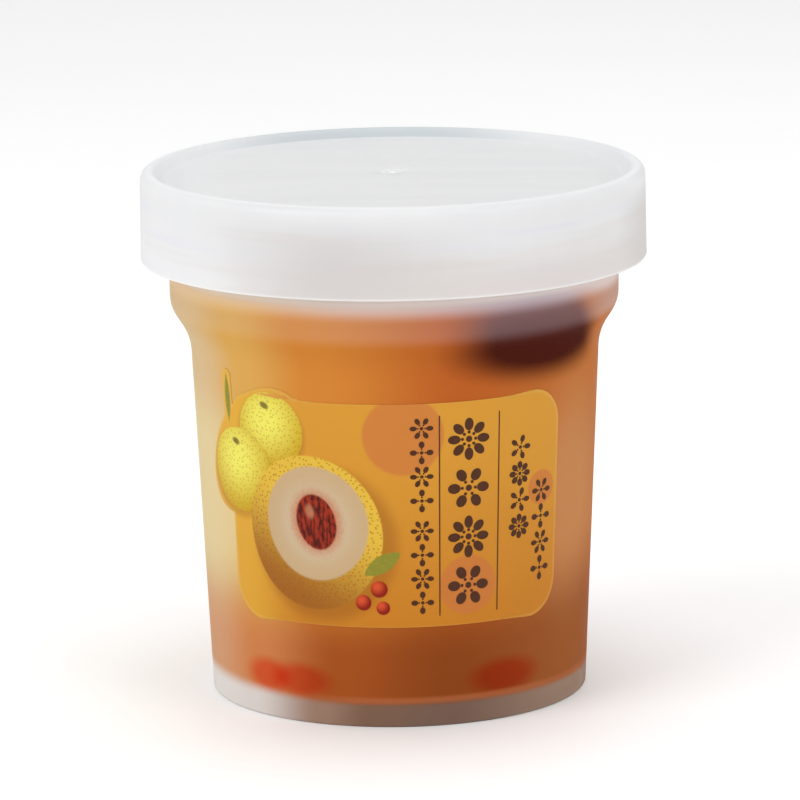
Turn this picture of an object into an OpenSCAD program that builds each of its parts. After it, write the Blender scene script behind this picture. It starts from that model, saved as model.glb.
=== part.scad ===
// A filled dessert cup: a frosted injection-moulded cup with a press-on lid, a wrap label,
// and a sweet soup with a whole peeled pear, one red date and goji berries.
// Millimetres. The cup stands on z = 0, its axis is Z, and the label faces -Y.
// Azimuths are degrees to the right of the front.

/* [Cup] */
// Outer diameter at the foot
foot_d = 70.9; // [66:0.1:74]
// Outer diameter where the tapered wall ends, under the shoulder
neck_d = 76.7; // [74:0.1:79]
// Outer diameter of the collar above the shoulder
collar_d = 84.4; // [82:0.1:87]
// Height at which the tapered wall ends and the shoulder starts
neck_h = 64.9; // [55:0.1:72]
// Height of the brim, on which the lid sits
cup_h = 96.6; // [90:0.1:110]
// Thickness of the moulded wall
cup_wall = 1.1; // [0.7:0.05:1.6]
// Height of the hollow under the floor, inside the foot ring
foot_h = 3.3; // [2:0.1:6]
// Thickness of the floor
floor_t = 1.2; // [0.8:0.1:2]
// Radius of the corner between floor and wall, inside
floor_round = 2; // [0.5:0.1:4]
// Radius of the hollow bend at the start of the shoulder
shoulder_fillet = 12; // [8:0.1:14]
// Radius of the outward bend at the end of the shoulder
shoulder_round = 6.4; // [4:0.1:8]
// Steepest lean of the shoulder away from upright, in degrees
shoulder_lean = 33; // [28:1:45]
// Draft of the collar, in degrees
collar_draft = 0.5; // [0:0.1:1]
// Radius of the outer edge of the foot
foot_round = 0.5; // [0.2:0.1:0.6]

/* [Brim] */
// Outer diameter of the turned-down brim
brim_d = 91; // [89:0.1:96]
// Thickness of the brim and of its lip
brim_t = 1.1; // [0.8:0.1:1.5]
// Depth of the turned-down lip below the top of the brim
lip_drop = 3.6; // [2.5:0.1:6]
// Radius of the outer top edge of the brim
brim_round = 0.9; // [0.3:0.1:1]

/* [Lid] */
// Thickness of the lid's wall
lid_wall = 1.1; // [0.8:0.05:1.5]
// Height of the lid, from the bottom of its skirt to the crest of its rim
lid_h = 16.9; // [12:0.1:22]
// Draft of the skirt, in degrees
skirt_draft = 0.6; // [0:0.1:1]
// Diameter of the sunk panel in the lid's top
panel_d = 85.6; // [84.6:0.1:86.4]
// Depth of the panel below the crest of the rim
panel_drop = 1.6; // [0.8:0.1:3]
// Rise of the slope between panel and rim, in degrees from level
ramp_rise = 34; // [34:1:60]
// Radius of the rim's outer edge
rim_round = 1.8; // [0.5:0.1:1.9]
// Radius of the rim's inner edge
rim_inner_round = 0.5; // [0.2:0.1:0.6]
// Height by which the panel's middle stands above its edge
panel_crown = 0.5; // [0.1:0.1:1]
// Clearance between lid and cup
lid_gap = 0.3; // [0.1:0.05:0.5]
// Height of the catch bead inside the skirt
bead_h = 0.45; // [0.2:0.05:0.7]
// Depth of the plug ring that enters the mouth
plug_h = 4.5; // [2:0.1:8]
// Thickness of the plug ring
plug_t = 0.9; // [0.6:0.1:1.4]
// Inward lean of the plug ring, in degrees
plug_lean = 3; // [0:0.5:6]
// Diameter of the gate dimple in the middle of the panel
dimple_d = 5; // [3:0.1:8]
// Depth of the gate dimple
dimple_depth = 0.25; // [0.1:0.05:0.4]
// Diameter of the gate marks on lid and cup
gate_d = 1.5; // [0.8:0.1:2]
// Height of the gate marks
gate_h = 0.45; // [0.2:0.05:0.8]

/* [Label] */
// Thickness of the label
label_t = 0.12; // [0.08:0.01:0.3]
// Width of the label, measured round the wall at its middle
label_w = 69; // [50:0.5:75]
// Height of the label
label_h = 43.2; // [30:0.1:45]
// Height of the label's bottom edge
label_z = 18.8; // [8:0.1:20]
// Azimuth of the label's middle
label_turn = -1.1; // [-20:0.1:20]
// Radius of the label's corners
label_corner = 7; // [2:0.1:12]
// Length of the oval lobe at the label's upper left corner
lobe_l = 30; // [22:0.5:32]
// Width of the oval lobe
lobe_w = 18.6; // [14:0.1:20]
// Slope of the lobe's long axis, in degrees
lobe_lean = 46.5; // [35:0.5:60]
// Distance of the lobe's middle inside the label's left edge
lobe_in = 6; // [3:0.1:9]
// Distance of the lobe's middle below the label's top edge
lobe_down = 11.2; // [9:0.1:14]
// Length of the tab that stands on the lobe
tab_l = 9; // [5:0.5:10]
// Width of the tab
tab_w = 2.5; // [2:0.1:4]
// Lean of the tab to the right, in degrees
tab_lean = -2; // [-20:1:10]

/* [Contents] */
// Depth of the soup's surface below the brim
soup_drop = 17.3; // [14:0.1:19]
// Greatest diameter of the pear
pear_d = 64; // [50:0.5:66]
// Depth of the pear's top below the soup's surface
pear_sunk = 16.8; // [14:0.1:24]
// Height of the pear's widest part above the floor
pear_belly = 27; // [22:0.5:32]
// Slimming of the pear towards its top, as a share of its width
pear_slim = 0.22; // [0:0.01:0.35]
// Length of the red date
date_l = 30; // [22:0.5:31]
// Diameter of the red date
date_d = 21; // [16:0.5:22]
// Azimuth of the red date
date_turn = 55; // [0:1:360]
// Share of the red date that stands out of the soup
date_float = 0.2; // [0:0.05:0.4]
// Length of a goji berry
goji_l = 12.5; // [8:0.5:12.5]
// Diameter of a goji berry
goji_d = 6.2; // [4:0.1:6.5]
// Clearance round the fruit, to wall and floor
fruit_gap = 0.4; // [0.2:0.1:1]

/* [Hidden] */
$fn = 96;
arc_steps = 10;

// Place of each goji berry round the floor, in millimetres to the right of the front
goji_places = [-28, -15.5, 19];
// Extra fullness of the fruit towards one end, as a share of its width
date_full = 0.06;
goji_full = 0.12;

// Lean of the tapered wall away from upright
taper = atan((neck_d - foot_d) / 2 / neck_h);
floor_top = foot_h + floor_t;
brim_r = brim_d / 2;

soup_h = cup_h - soup_drop;
pear_h = soup_h - pear_sunk - floor_top;

// Outward normal of a wall that leans outward by angle a
function normal(a) = [cos(a), -sin(a)];

// Points of a circular arc about c, from angle a0 to a1
function arc(c, r, a0, a1, n = arc_steps) =
    [for (i = [0:n]) let (a = a0 + (a1 - a0) * i / n) c + r * [cos(a), sin(a)]];

function reversed(points) = [for (i = [len(points) - 1:-1:0]) points[i]];

// The shoulder: a hollow bend, a straight run and an outward bend, all tangent
fillet_c = [neck_d / 2, neck_h] + shoulder_fillet * normal(taper);
fillet_end = fillet_c - shoulder_fillet * normal(shoulder_lean);
shoulder_run = (collar_d / 2 - fillet_end[0]
    - shoulder_round * (cos(collar_draft) - cos(shoulder_lean))) / sin(shoulder_lean);
run_end = fillet_end + shoulder_run * [sin(shoulder_lean), cos(shoulder_lean)];
round_c = run_end - shoulder_round * normal(shoulder_lean);
collar_z = round_c[1] - shoulder_round * sin(collar_draft);

// Outer radius of the cup at the brim, and radius of its mouth
mouth_outer_r = collar_d / 2 + (cup_h - collar_z) * tan(collar_draft);
mouth_r = mouth_outer_r - cup_wall / cos(collar_draft);

// The wall's line from foot to brim, set inward by inset
function wall_line(inset) = concat(
    [[foot_d / 2 - inset / cos(taper), 0]],
    arc(fillet_c, shoulder_fillet + inset, 180 - taper, 180 - shoulder_lean),
    arc(round_c, shoulder_round - inset, -shoulder_lean, -collar_draft),
    [[mouth_outer_r - inset / cos(collar_draft), cup_h]]
);

// Radius of that line at height z
function wall_r(z, inset = 0) = lookup(z, [for (p = wall_line(inset)) [p[1], p[0]]]);

// Part of that line between two heights
function wall_between(z0, z1, inset = 0) = concat(
    [[wall_r(z0, inset), z0]],
    [for (p = wall_line(inset)) if (p[1] > z0 + 0.01 && p[1] < z1 - 0.01) p],
    [[wall_r(z1, inset), z1]]
);

// Inside of the cup from the middle of the floor up to height z
function inside_line(z) =
    let (corner_z = floor_top + floor_round,
         corner_c = [wall_r(corner_z, cup_wall) - floor_round / cos(taper), corner_z])
    concat(
        [[0, floor_top]],
        arc(corner_c, floor_round, -90, -taper),
        wall_between(corner_z, z, cup_wall)
    );

// Fillet under the brim and small edge rounds
brim_fillet = 0.6;
edge_round = 0.3;

module cup() {
    foot_c = [wall_r(foot_round) - foot_round / cos(taper), foot_round];
    fillet_z = cup_h - brim_t - brim_fillet;
    lip_z = cup_h - lip_drop;
    recess_round = 1;
    recess_r = wall_r(foot_h, cup_wall);
    foot_inner_r = wall_r(0, cup_wall);
    profile = concat(
        [[0, foot_h]],
        arc([recess_r - recess_round, foot_h - recess_round], recess_round, 90, 0),
        [[foot_inner_r, 0]],
        arc(foot_c, foot_round, -90, -taper),
        wall_between(foot_round, fillet_z),
        arc([wall_r(fillet_z) + brim_fillet, fillet_z], brim_fillet, 180, 90, 4),
        [[brim_r - brim_t, cup_h - brim_t]],
        arc([brim_r - brim_t + edge_round, lip_z + edge_round], edge_round, 180, 270, 4),
        arc([brim_r - edge_round, lip_z + edge_round], edge_round, 270, 360, 4),
        arc([brim_r - brim_round, cup_h - brim_round], brim_round, 0, 90, 6),
        arc([mouth_r + edge_round, cup_h - edge_round], edge_round, 90, 180, 4),
        reversed(inside_line(cup_h - edge_round))
    );
    color([0.9, 0.92, 0.93, 0.5]) {
        rotate_extrude() polygon(profile);
        // Gate mark under the floor
        translate([0, 0, foot_h - gate_h]) cylinder(d = gate_d, h = gate_h + floor_t / 2);
    }
}

// Top of the lid's panel at its edge, and crest of its rim
panel_z = cup_h + lid_wall;
crest_z = panel_z + panel_drop;
// Outer radius of the lid at the height of the brim
lid_r = brim_r + lid_gap + bead_h + lid_wall;
// Radius that the drafted skirt has at height z
function skirt_r(z, inset = 0) = lid_r - inset + (cup_h - z) * tan(skirt_draft);
// Half-angle factor that keeps the wall even where panel and slope meet
mitre = tan(ramp_rise / 2);
ramp_top_r = panel_d / 2 + panel_drop / tan(ramp_rise);

// Points of a shallow dome of radius r on height z, from the middle outward
function crown(r, z) = [for (i = [0:8]) [r * i / 8, z + panel_crown * (1 - pow(i / 8, 2))]];

module lid() {
    skirt_z = crest_z - lid_h;
    ramp_fillet = 1;
    plug_r = mouth_r - lid_gap;
    plug_end_r = plug_r - plug_h * tan(plug_lean);
    plug_z = cup_h - plug_h;
    bead_z = cup_h - lip_drop - lid_gap;
    bead_tip_r = brim_r + lid_gap;
    top = concat(
        crown(panel_d / 2 - ramp_fillet * mitre, panel_z),
        arc([panel_d / 2 - ramp_fillet * mitre, panel_z + ramp_fillet],
            ramp_fillet, -90, ramp_rise - 90, 5),
        arc([ramp_top_r + rim_inner_round * mitre, crest_z - rim_inner_round],
            rim_inner_round, 90 + ramp_rise, 90, 5),
        arc([skirt_r(crest_z) - rim_round, crest_z - rim_round], rim_round, 90, 0)
    );
    skirt = concat(
        arc([skirt_r(skirt_z) - edge_round, skirt_z + edge_round], edge_round, 0, -90, 4),
        arc([skirt_r(skirt_z, lid_wall) + edge_round, skirt_z + edge_round],
            edge_round, -90, -180, 4),
        [[skirt_r(bead_z - 3 * bead_h, lid_wall), bead_z - 3 * bead_h],
         [bead_tip_r, bead_z - bead_h - edge_round],
         [bead_tip_r, bead_z - bead_h],
         [skirt_r(bead_z, lid_wall), bead_z]]
    );
    under = [
        [skirt_r(crest_z, lid_wall), crest_z - lid_wall],
        [ramp_top_r + lid_wall * mitre, crest_z - lid_wall],
        [panel_d / 2 + lid_wall * mitre, cup_h],
        [plug_r, cup_h]
    ];
    plug = concat(
        arc([plug_end_r - edge_round, plug_z + edge_round], edge_round, 0, -90, 4),
        arc([plug_end_r - plug_t + edge_round, plug_z + edge_round], edge_round, -90, -180, 4)
    );
    color([0.93, 0.94, 0.95, 0.6]) {
        difference() {
            rotate_extrude()
                polygon(concat(top, skirt, under, plug, reversed(crown(plug_r - plug_t, cup_h))));
            translate([0, 0, panel_z + panel_crown - dimple_depth]) cylinder(d = dimple_d, h = lid_wall);
        }
        // Gate mark in the dimple
        translate([0, 0, cup_h + panel_crown + lid_wall / 2])
            cylinder(d = gate_d, h = lid_wall / 2 - dimple_depth + gate_h);
    }
}

// Curved piece of the label's sheet in front of the axis, between two heights
module sheet(z0, z1) {
    rotate([0, 0, 180]) rotate_extrude(angle = 180)
        polygon(concat(wall_between(z0, z1), reversed(wall_between(z0, z1, -label_t))));
}

// Point that lies along and across from an origin whose along axis slopes up by an angle
function leaned(origin, slope, along, across) =
    origin + along * [cos(slope), sin(slope)] + across * [-sin(slope), cos(slope)];

module label() {
    top_z = label_z + label_h;
    mid_r = wall_r(label_z + label_h / 2);
    lobe_mid = [lobe_in - label_w / 2, top_z - lobe_down];
    // The tab stands on the upper end of the lobe's short axis
    tab_foot = leaned(lobe_mid, lobe_lean, 0, lobe_w / 2 - tab_w * 0.4);
    tab_top = tab_foot[1] + tab_l;
    // Front view of a point that lies x round the wall from the label's middle, at height z
    function seen(x, z) = [wall_r(z) * sin(label_turn + x / mid_r * 180 / PI), z];
    panel = concat(
        arc([label_w / 2 - label_corner, top_z - label_corner], label_corner, 0, 90),
        arc([label_corner - label_w / 2, top_z - label_corner], label_corner, 90, 180),
        arc([label_corner - label_w / 2, label_z + label_corner], label_corner, 180, 270),
        arc([label_w / 2 - label_corner, label_z + label_corner], label_corner, 270, 360)
    );
    lobe = [for (a = [0:10:350]) leaned(lobe_mid, lobe_lean, lobe_l / 2 * cos(a), lobe_w / 2 * sin(a))];
    strip = concat([[tab_w / 2, 0]], arc([0, tab_l - tab_w / 2], tab_w / 2, 0, 180), [[-tab_w / 2, 0]]);
    tab = [for (p = strip) leaned(tab_foot, -tab_lean, p[0], p[1])];
    color([0.86, 0.62, 0.22]) intersection() {
        sheet(label_z - 1, max(top_z, lobe_mid[1] + lobe_l / 2, tab_top) + 0.2);
        rotate([90, 0, 0]) linear_extrude(brim_d)
            for (outline = [panel, lobe, tab]) polygon([for (p = outline) seen(p[0], p[1])]);
    }
}

module soup() {
    color([0.8, 0.45, 0.2]) difference() {
        rotate_extrude() polygon(concat(inside_line(soup_h), [[0, soup_h]]));
        pear();
        red_date();
        for (place = goji_places) goji_berry(place);
    }
}

// The pear stands on the floor with a small flat
module pear() {
    belly_z = floor_top + pear_belly;
    flat = 0.5;
    function height(a) = (a < 0 ? pear_belly + flat : pear_h - pear_belly) * sin(a);
    function width(a) = pear_d / 2 * cos(a) * (1 - pear_slim * max(0, sin(a)));
    foot_a = -asin(pear_belly / (pear_belly + flat));
    steps = 20;
    profile = [for (i = [0:steps]) let (a = foot_a + (90 - foot_a) * i / steps)
        [i == steps ? 0 : width(a), belly_z + height(a)]];
    color([0.93, 0.86, 0.66]) rotate_extrude() polygon(concat([[0, floor_top]], profile));
}

// Outline of a berry: an ellipse that is fuller towards one end, turned about its length
module berry(length, width, fuller) {
    steps = 12;
    rotate_extrude() polygon([for (i = [0:steps]) let (a = -90 + 180 * i / steps)
        [i == 0 || i == steps ? 0 : width / 2 * cos(a) * (1 + fuller * sin(a)), length / 2 * sin(a)]]);
}

// The red date floats at the soup's surface, close to the inside of the shoulder
module red_date() {
    date_z = soup_h + date_d * (date_float - 0.5);
    // The wall narrows downwards, so the closest point is somewhere on the date's lower outer side
    date_r = min([for (a = [0:10:80])
        wall_r(date_z - date_d / 2 * sin(a), cup_wall) - date_d / 2 * cos(a)])
        - fruit_gap;
    color([0.32, 0.08, 0.06]) rotate([0, 0, date_turn]) translate([0, -date_r, date_z])
        rotate([0, 90, 0]) berry(date_l, date_d, date_full);
}

// A goji berry lies on the floor along the wall
module goji_berry(place) {
    berry_r = wall_r(floor_top + floor_round, cup_wall) - floor_round - fruit_gap - goji_d / 2;
    color([0.78, 0.2, 0.1]) rotate([0, 0, place / berry_r * 180 / PI])
        translate([0, -berry_r, floor_top + fruit_gap + goji_d / 2])
            rotate([0, 90, 0]) berry(goji_l, goji_d, goji_full);
}

cup();
lid();
label();
soup();
pear();
red_date();
goji_berry(goji_places[0]);  // goji_berry_1
goji_berry(goji_places[1]);  // goji_berry_2
goji_berry(goji_places[2]);  // goji_berry_3
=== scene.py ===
import math
import bpy
import bmesh
from mathutils import Matrix, Vector, noise
from mathutils.geometry import delaunay_2d_cdt


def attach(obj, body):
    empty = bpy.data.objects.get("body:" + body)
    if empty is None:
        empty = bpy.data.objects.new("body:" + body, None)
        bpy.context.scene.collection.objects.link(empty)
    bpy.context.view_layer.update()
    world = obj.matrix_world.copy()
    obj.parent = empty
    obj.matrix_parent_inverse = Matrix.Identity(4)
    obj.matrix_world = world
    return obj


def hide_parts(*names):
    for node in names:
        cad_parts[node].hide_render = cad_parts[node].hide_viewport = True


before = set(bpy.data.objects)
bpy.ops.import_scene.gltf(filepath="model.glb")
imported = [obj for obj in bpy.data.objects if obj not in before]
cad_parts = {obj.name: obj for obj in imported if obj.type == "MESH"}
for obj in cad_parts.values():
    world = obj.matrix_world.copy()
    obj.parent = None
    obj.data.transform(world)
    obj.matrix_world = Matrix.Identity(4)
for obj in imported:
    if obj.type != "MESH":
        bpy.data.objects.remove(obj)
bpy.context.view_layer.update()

mm = 0.001
scene = bpy.context.scene
print("frame loaded")


# camera: the photograph's view, a long lens a little above the lid's rim

view = {"target": (0, 0, 0.05), "distance": 1.046609, "elevation": 0.211727, "roll": 0.01449,
        "lens": 249.02, "shift": (0.00483, 0.02836), "sensor": 36, "clip": (0.05, 20)}


def placeCamera():
    data = bpy.data.cameras.new("camera")
    data.lens = view["lens"]
    data.sensor_width = view["sensor"]
    data.shift_x, data.shift_y = view["shift"]
    data.clip_start, data.clip_end = view["clip"]
    camera = bpy.data.objects.new("camera", data)
    scene.collection.objects.link(camera)
    rise = view["elevation"]
    back = Vector((0, -math.cos(rise), math.sin(rise)))
    right = Vector((1, 0, 0))
    up = Vector((0, math.sin(rise), math.cos(rise)))
    c, s = math.cos(view["roll"]), math.sin(view["roll"])
    across, upright = c * right - s * up, s * right + c * up
    turn = Matrix((across, upright, back)).transposed().to_4x4()
    camera.matrix_world = Matrix.Translation(Vector(view["target"]) + view["distance"] * back) @ turn
    scene.camera = camera


placeCamera()
print("camera placed")


# shader and geometry trees, written as expressions

def tint(red, green, blue):     # a screen colour, 0 to 255, as a shader colour
    def linear(v):
        v /= 255
        return v / 12.92 if v <= 0.04045 else ((v + 0.055) / 1.055) ** 2.4
    return linear(red), linear(green), linear(blue), 1.0


class Term:                     # a socket that can be reckoned with
    def __init__(self, recipe, socket):
        self.recipe, self.socket = recipe, socket

    def pick(self, name):       # another output of the same node
        return Term(self.recipe, self.socket.node.outputs[name])

    def __add__(self, other):
        return self.recipe.math("ADD", self, other)

    def __sub__(self, other):
        return self.recipe.math("SUBTRACT", self, other)

    def __rsub__(self, other):
        return self.recipe.math("SUBTRACT", other, self)

    def __mul__(self, other):
        return self.recipe.math("MULTIPLY", self, other)

    def __truediv__(self, other):
        return self.recipe.math("DIVIDE", self, other)

    def __pow__(self, other):
        return self.recipe.math("POWER", self, other)

    def __abs__(self):
        return self.recipe.math("ABSOLUTE", self)

    __radd__, __rmul__ = __add__, __mul__


class Recipe:                   # adds nodes to one tree
    def __init__(self, tree):
        self.tree = tree

    def add(self, kind, settings=None, values=(), out=0):
        node = self.tree.nodes.new(kind)
        for name, value in (settings or {}).items():
            setattr(node, name, value)
        pairs = values.items() if isinstance(values, dict) else enumerate(values)
        for key, value in pairs:
            socket = node.inputs[key]
            if isinstance(value, Term):
                self.tree.links.new(value.socket, socket)
            elif isinstance(value, list):       # several terms into one socket
                for term in value:
                    self.tree.links.new(term.socket, socket)
            else:
                socket.default_value = value
        return Term(self, node.outputs[out]) if node.outputs else None

    def math(self, operation, *values):
        return self.add("ShaderNodeMath", {"operation": operation}, values)

    def blend(self, factor, first, second, way="MIX"):  # first where factor is 0, second where it is 1
        return self.add("ShaderNodeMix", {"data_type": "RGBA", "blend_type": way},
                        {0: factor, 6: first, 7: second}, out=2)

    def fade(self, value, start, end, full=1.0):        # smooth step from 0 at start to full at end
        return self.add("ShaderNodeMapRange", {"interpolation_type": "SMOOTHSTEP"},
                        {"Value": value, "From Min": start, "From Max": end, "To Max": full})

    def ramp(self, value, stops):               # stops are (place from 0 to 1, screen colour)
        term = self.add("ShaderNodeValToRGB", {}, (value,))
        band = term.socket.node.color_ramp
        band.interpolation = "EASE"
        while len(band.elements) < len(stops):
            band.elements.new(0.5)
        for element, (place, colour) in zip(band.elements, stops):
            element.position, element.color = place, tint(*colour)
        return term

    def cloud(self, vector, scale, detail=2.0, rough=0.5):
        return self.add("ShaderNodeTexNoise", {}, {"Vector": vector, "Scale": scale, "Detail": detail,
                                                   "Roughness": rough})

    def stretched(self, vector, scale):
        return self.add("ShaderNodeVectorMath", {"operation": "MULTIPLY"}, (vector, scale))

    def vector(self, *parts):
        return self.add("ShaderNodeCombineXYZ", {}, parts)

    def parts(self, vector):
        first = self.add("ShaderNodeSeparateXYZ", {}, (vector,))
        return first, first.pick("Y"), first.pick("Z")

    def spot(self):             # Object coordinates in millimetres
        return self.stretched(self.add("ShaderNodeTexCoord", out="Object"), (1 / mm, 1 / mm, 1 / mm))

    def place(self):            # the same, and their parts
        spot = self.spot()
        return (spot,) + self.parts(spot)

    def bump(self, height, strength, distance):
        return self.add("ShaderNodeBump", {},
                        {"Height": height, "Strength": strength, "Distance": distance * mm})

    def surface(self, colour, rough, **more):   # more inputs by name, with _ for a space
        values = {"Base Color": colour, "Roughness": rough}
        values.update((name.replace("_", " "), value) for name, value in more.items())
        shader = self.add("ShaderNodeBsdfPrincipled", {}, values)
        self.add("ShaderNodeOutputMaterial", {}, {"Surface": shader})


def newMaterial(name):
    material = bpy.data.materials.new(name)
    material.use_nodes = True
    material.node_tree.nodes.clear()
    return material, Recipe(material.node_tree)


# mesh helpers: profiles are lists of (radius, height) in millimetres

def arc(centre, radius, start, end, steps=12):
    turns = [math.radians(start + (end - start) * i / steps) for i in range(steps + 1)]
    return [(centre[0] + radius * math.cos(a), centre[1] + radius * math.sin(a)) for a in turns]


def meshObject(name, bm, material, sharp=40):
    mesh = bpy.data.meshes.new(name)
    bm.to_mesh(mesh)
    bm.free()
    mesh.shade_smooth()
    mesh.set_sharp_from_angle(angle=math.radians(sharp))
    piece = bpy.data.objects.new(name, mesh)
    scene.collection.objects.link(piece)
    mesh.materials.append(material)
    return piece


def turned(profile, sides=192):     # turns a profile round the Z axis
    bm = bmesh.new()
    rings = []
    for radius, height in profile:
        if radius < 1e-6:
            rings.append([bm.verts.new((0, 0, height * mm))])
        else:
            rings.append([bm.verts.new((radius * mm * math.cos(2 * math.pi * i / sides),
                                        radius * mm * math.sin(2 * math.pi * i / sides), height * mm))
                          for i in range(sides)])
    pairs = list(zip(rings, rings[1:]))
    if len(rings[0]) > 1 and len(rings[-1]) > 1:
        pairs.append((rings[-1], rings[0]))
    for low, high in pairs:
        for i in range(sides):
            j = (i + 1) % sides
            if len(low) == 1:
                bm.faces.new((low[0], high[j], high[i]))
            elif len(high) == 1:
                bm.faces.new((low[i], low[j], high[0]))
            else:
                bm.faces.new((low[i], low[j], high[j], high[i]))
    bmesh.ops.recalc_face_normals(bm, faces=bm.faces)
    return bm


# the cup's wall line, from which lid, label and soup take their place too

cupSizes = {"footD": 70.9, "neckD": 76.7, "collarD": 84.4, "neckH": 64.9, "brimH": 96.6, "wall": 1.1,
            "footH": 3.3, "floorT": 1.2, "floorRound": 2.0, "shoulderFillet": 12.0, "shoulderRound": 6.4,
            "shoulderLean": 33.0, "collarDraft": 0.5, "footRound": 0.5, "brimD": 91.0, "brimT": 1.1,
            "lipDrop": 3.6, "brimRound": 0.9, "brimFillet": 0.6, "edgeRound": 0.3, "recessRound": 1.0,
            "gateD": 1.5, "gateH": 0.45, "gateRound": 0.1}
wallSlope = (cupSizes["neckD"] - cupSizes["footD"]) / 2 / cupSizes["neckH"]
taper = math.degrees(math.atan(wallSlope))


def cosine(angle):
    return math.cos(math.radians(angle))


def sine(angle):
    return math.sin(math.radians(angle))


def tangent(angle):
    return math.tan(math.radians(angle))


def wallLine(inset=0.0):
    c = cupSizes
    lean, draft = c["shoulderLean"], c["collarDraft"]
    fillet, rounding = c["shoulderFillet"], c["shoulderRound"]
    filletC = (c["neckD"] / 2 + fillet * cosine(taper), c["neckH"] - fillet * sine(taper))
    filletEnd = (filletC[0] - fillet * cosine(lean), filletC[1] + fillet * sine(lean))
    reach = c["collarD"] / 2 - filletEnd[0] - rounding * (cosine(draft) - cosine(lean))
    run = reach / sine(lean)
    runEnd = (filletEnd[0] + run * sine(lean), filletEnd[1] + run * cosine(lean))
    roundC = (runEnd[0] - rounding * cosine(lean), runEnd[1] + rounding * sine(lean))
    collarZ = roundC[1] - rounding * sine(draft)
    mouthOuter = c["collarD"] / 2 + (c["brimH"] - collarZ) * tangent(draft)
    return ([(c["footD"] / 2 - inset / cosine(taper), 0)]
            + arc(filletC, fillet + inset, 180 - taper, 180 - lean, 16)
            + arc(roundC, rounding - inset, -lean, -draft, 16)
            + [(mouthOuter - inset / cosine(draft), c["brimH"])])


def wallRadius(height, inset=0.0):
    line = wallLine(inset)
    for (r0, z0), (r1, z1) in zip(line, line[1:]):
        if height <= z1:
            return r0 + (r1 - r0) * (height - z0) / (z1 - z0)
    return line[-1][0]


def wallBetween(low, high, inset=0.0):
    inner = [p for p in wallLine(inset) if low + 0.01 < p[1] < high - 0.01]
    return [(wallRadius(low, inset), low)] + inner + [(wallRadius(high, inset), high)]


def insideLine(height, inset):      # the inside of the cup from the middle of the floor upwards
    c = cupSizes
    floor = c["footH"] + c["floorT"] + inset - c["wall"]
    cornerZ = floor + c["floorRound"]
    corner = (wallRadius(cornerZ, inset) - c["floorRound"] / cosine(taper), cornerZ)
    return [(0, floor)] + arc(corner, c["floorRound"], -90, -taper) + wallBetween(cornerZ, height, inset)


# amber: soup and frosted wall share their colours, because the wall takes on what stands behind it; these
# colours also carry painted light and shade

amberLook = {       # colours from the left (0) to the right (1), as they shine through the frosted wall, with painted light: paler on the left, where the light falls
    "high": ((0.02, (231, 200, 154)), (0.13, (233, 179, 94)), (0.3, (224, 142, 60)), (0.66, (199, 103, 44)),
             (1.0, (205, 123, 62))),
    "low": ((0.02, (225, 169, 128)), (0.13, (220, 139, 84)), (0.34, (176, 89, 38)), (0.62, (151, 76, 32)),
            (1.0, (171, 100, 54))),
    # the collar's band: pale headspace, with painted reflection on the shoulder and painted sheen at both
    # edges
    "hazeAndSheen": ((0.12, (219, 190, 154)), (0.45, (215, 197, 190)), (0.8, (190, 178, 186)),
             (1.0, (218, 200, 194))),
    # the foot band: pale on the left with painted light, dark in the middle
    "foot": ((0.03, (244, 238, 233)), (0.11, (238, 230, 225)), (0.29, (168, 134, 115)),
             (0.42, (137, 105, 86)), (0.62, (130, 103, 89)), (1.0, (171, 143, 124))),
    # pear: the cream of painted light on the left edge and of a painted highlight on the right
    "pear": (248, 232, 179), "date": (80, 31, 21), "veil": (156, 108, 106), "goji": (1.0, 0.42, 0.37, 1.0),
    # glow: a painted glint along the foot; the last colour is painted light just under the lid
    "glow": (192, 112, 70), "underLidLight": (232, 222, 214)}
amberShapes = {
    # blots: turn round the cup, height, half width and half height
    # the first blot is a painted highlight on the wall's right
    "highlightRight": (60, 41, 14, 22), "date": (44.1, 73.0, 18.8, 8.6),
    "gojis": ((-43.0, 8.2, 5.2, 3.2), (-31.0, 8.2, 6.2, 3.2), (33.0, 8.4, 7.4, 3.4)),
    "datePower": 2.8, "dateLean": 0.06, "dateTipRise": 0.9, "dateTipZ": 70,
    # the painted light on the left edge: middle height, half height and share
    "litEdgeMiddle": 41, "litEdgeHalf": 17, "litEdgeShare": 0.19, "lowRise": 4,
    # how far out a blot is full and where it ends, in half sizes
    "highlightSoft": (0.3, 1.3), "gojiSoft": (0.5, 1.35), "dateSoft": (0.64, 1.3),
    # fades: start, end and how full, by height or by share from the left; the pear fade bounds painted
    # light on the left edge
    "lowToHigh": (13, 30), "lowRight": (0.7, 1.0), "pear": (1.35, 0.55, 0.58), "blotDepth": (0.0, 15.0),
    "dateTip": (19.6, 11.0), "veil": (70.5, 80.5, 0.65), "hazeFoot": (72.0, 75.0),
    "hazeTop": (77.0, 80.6, 0.8), "edgeSheenLeft": (0.25, 0.05, 0.15), "edgeSheenRight": (0.9, 0.98, 0.35),
    # painted light just under the lid, where its shade falls
    "underLidLight": (79.7, 81.0, 0.6)}


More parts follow.
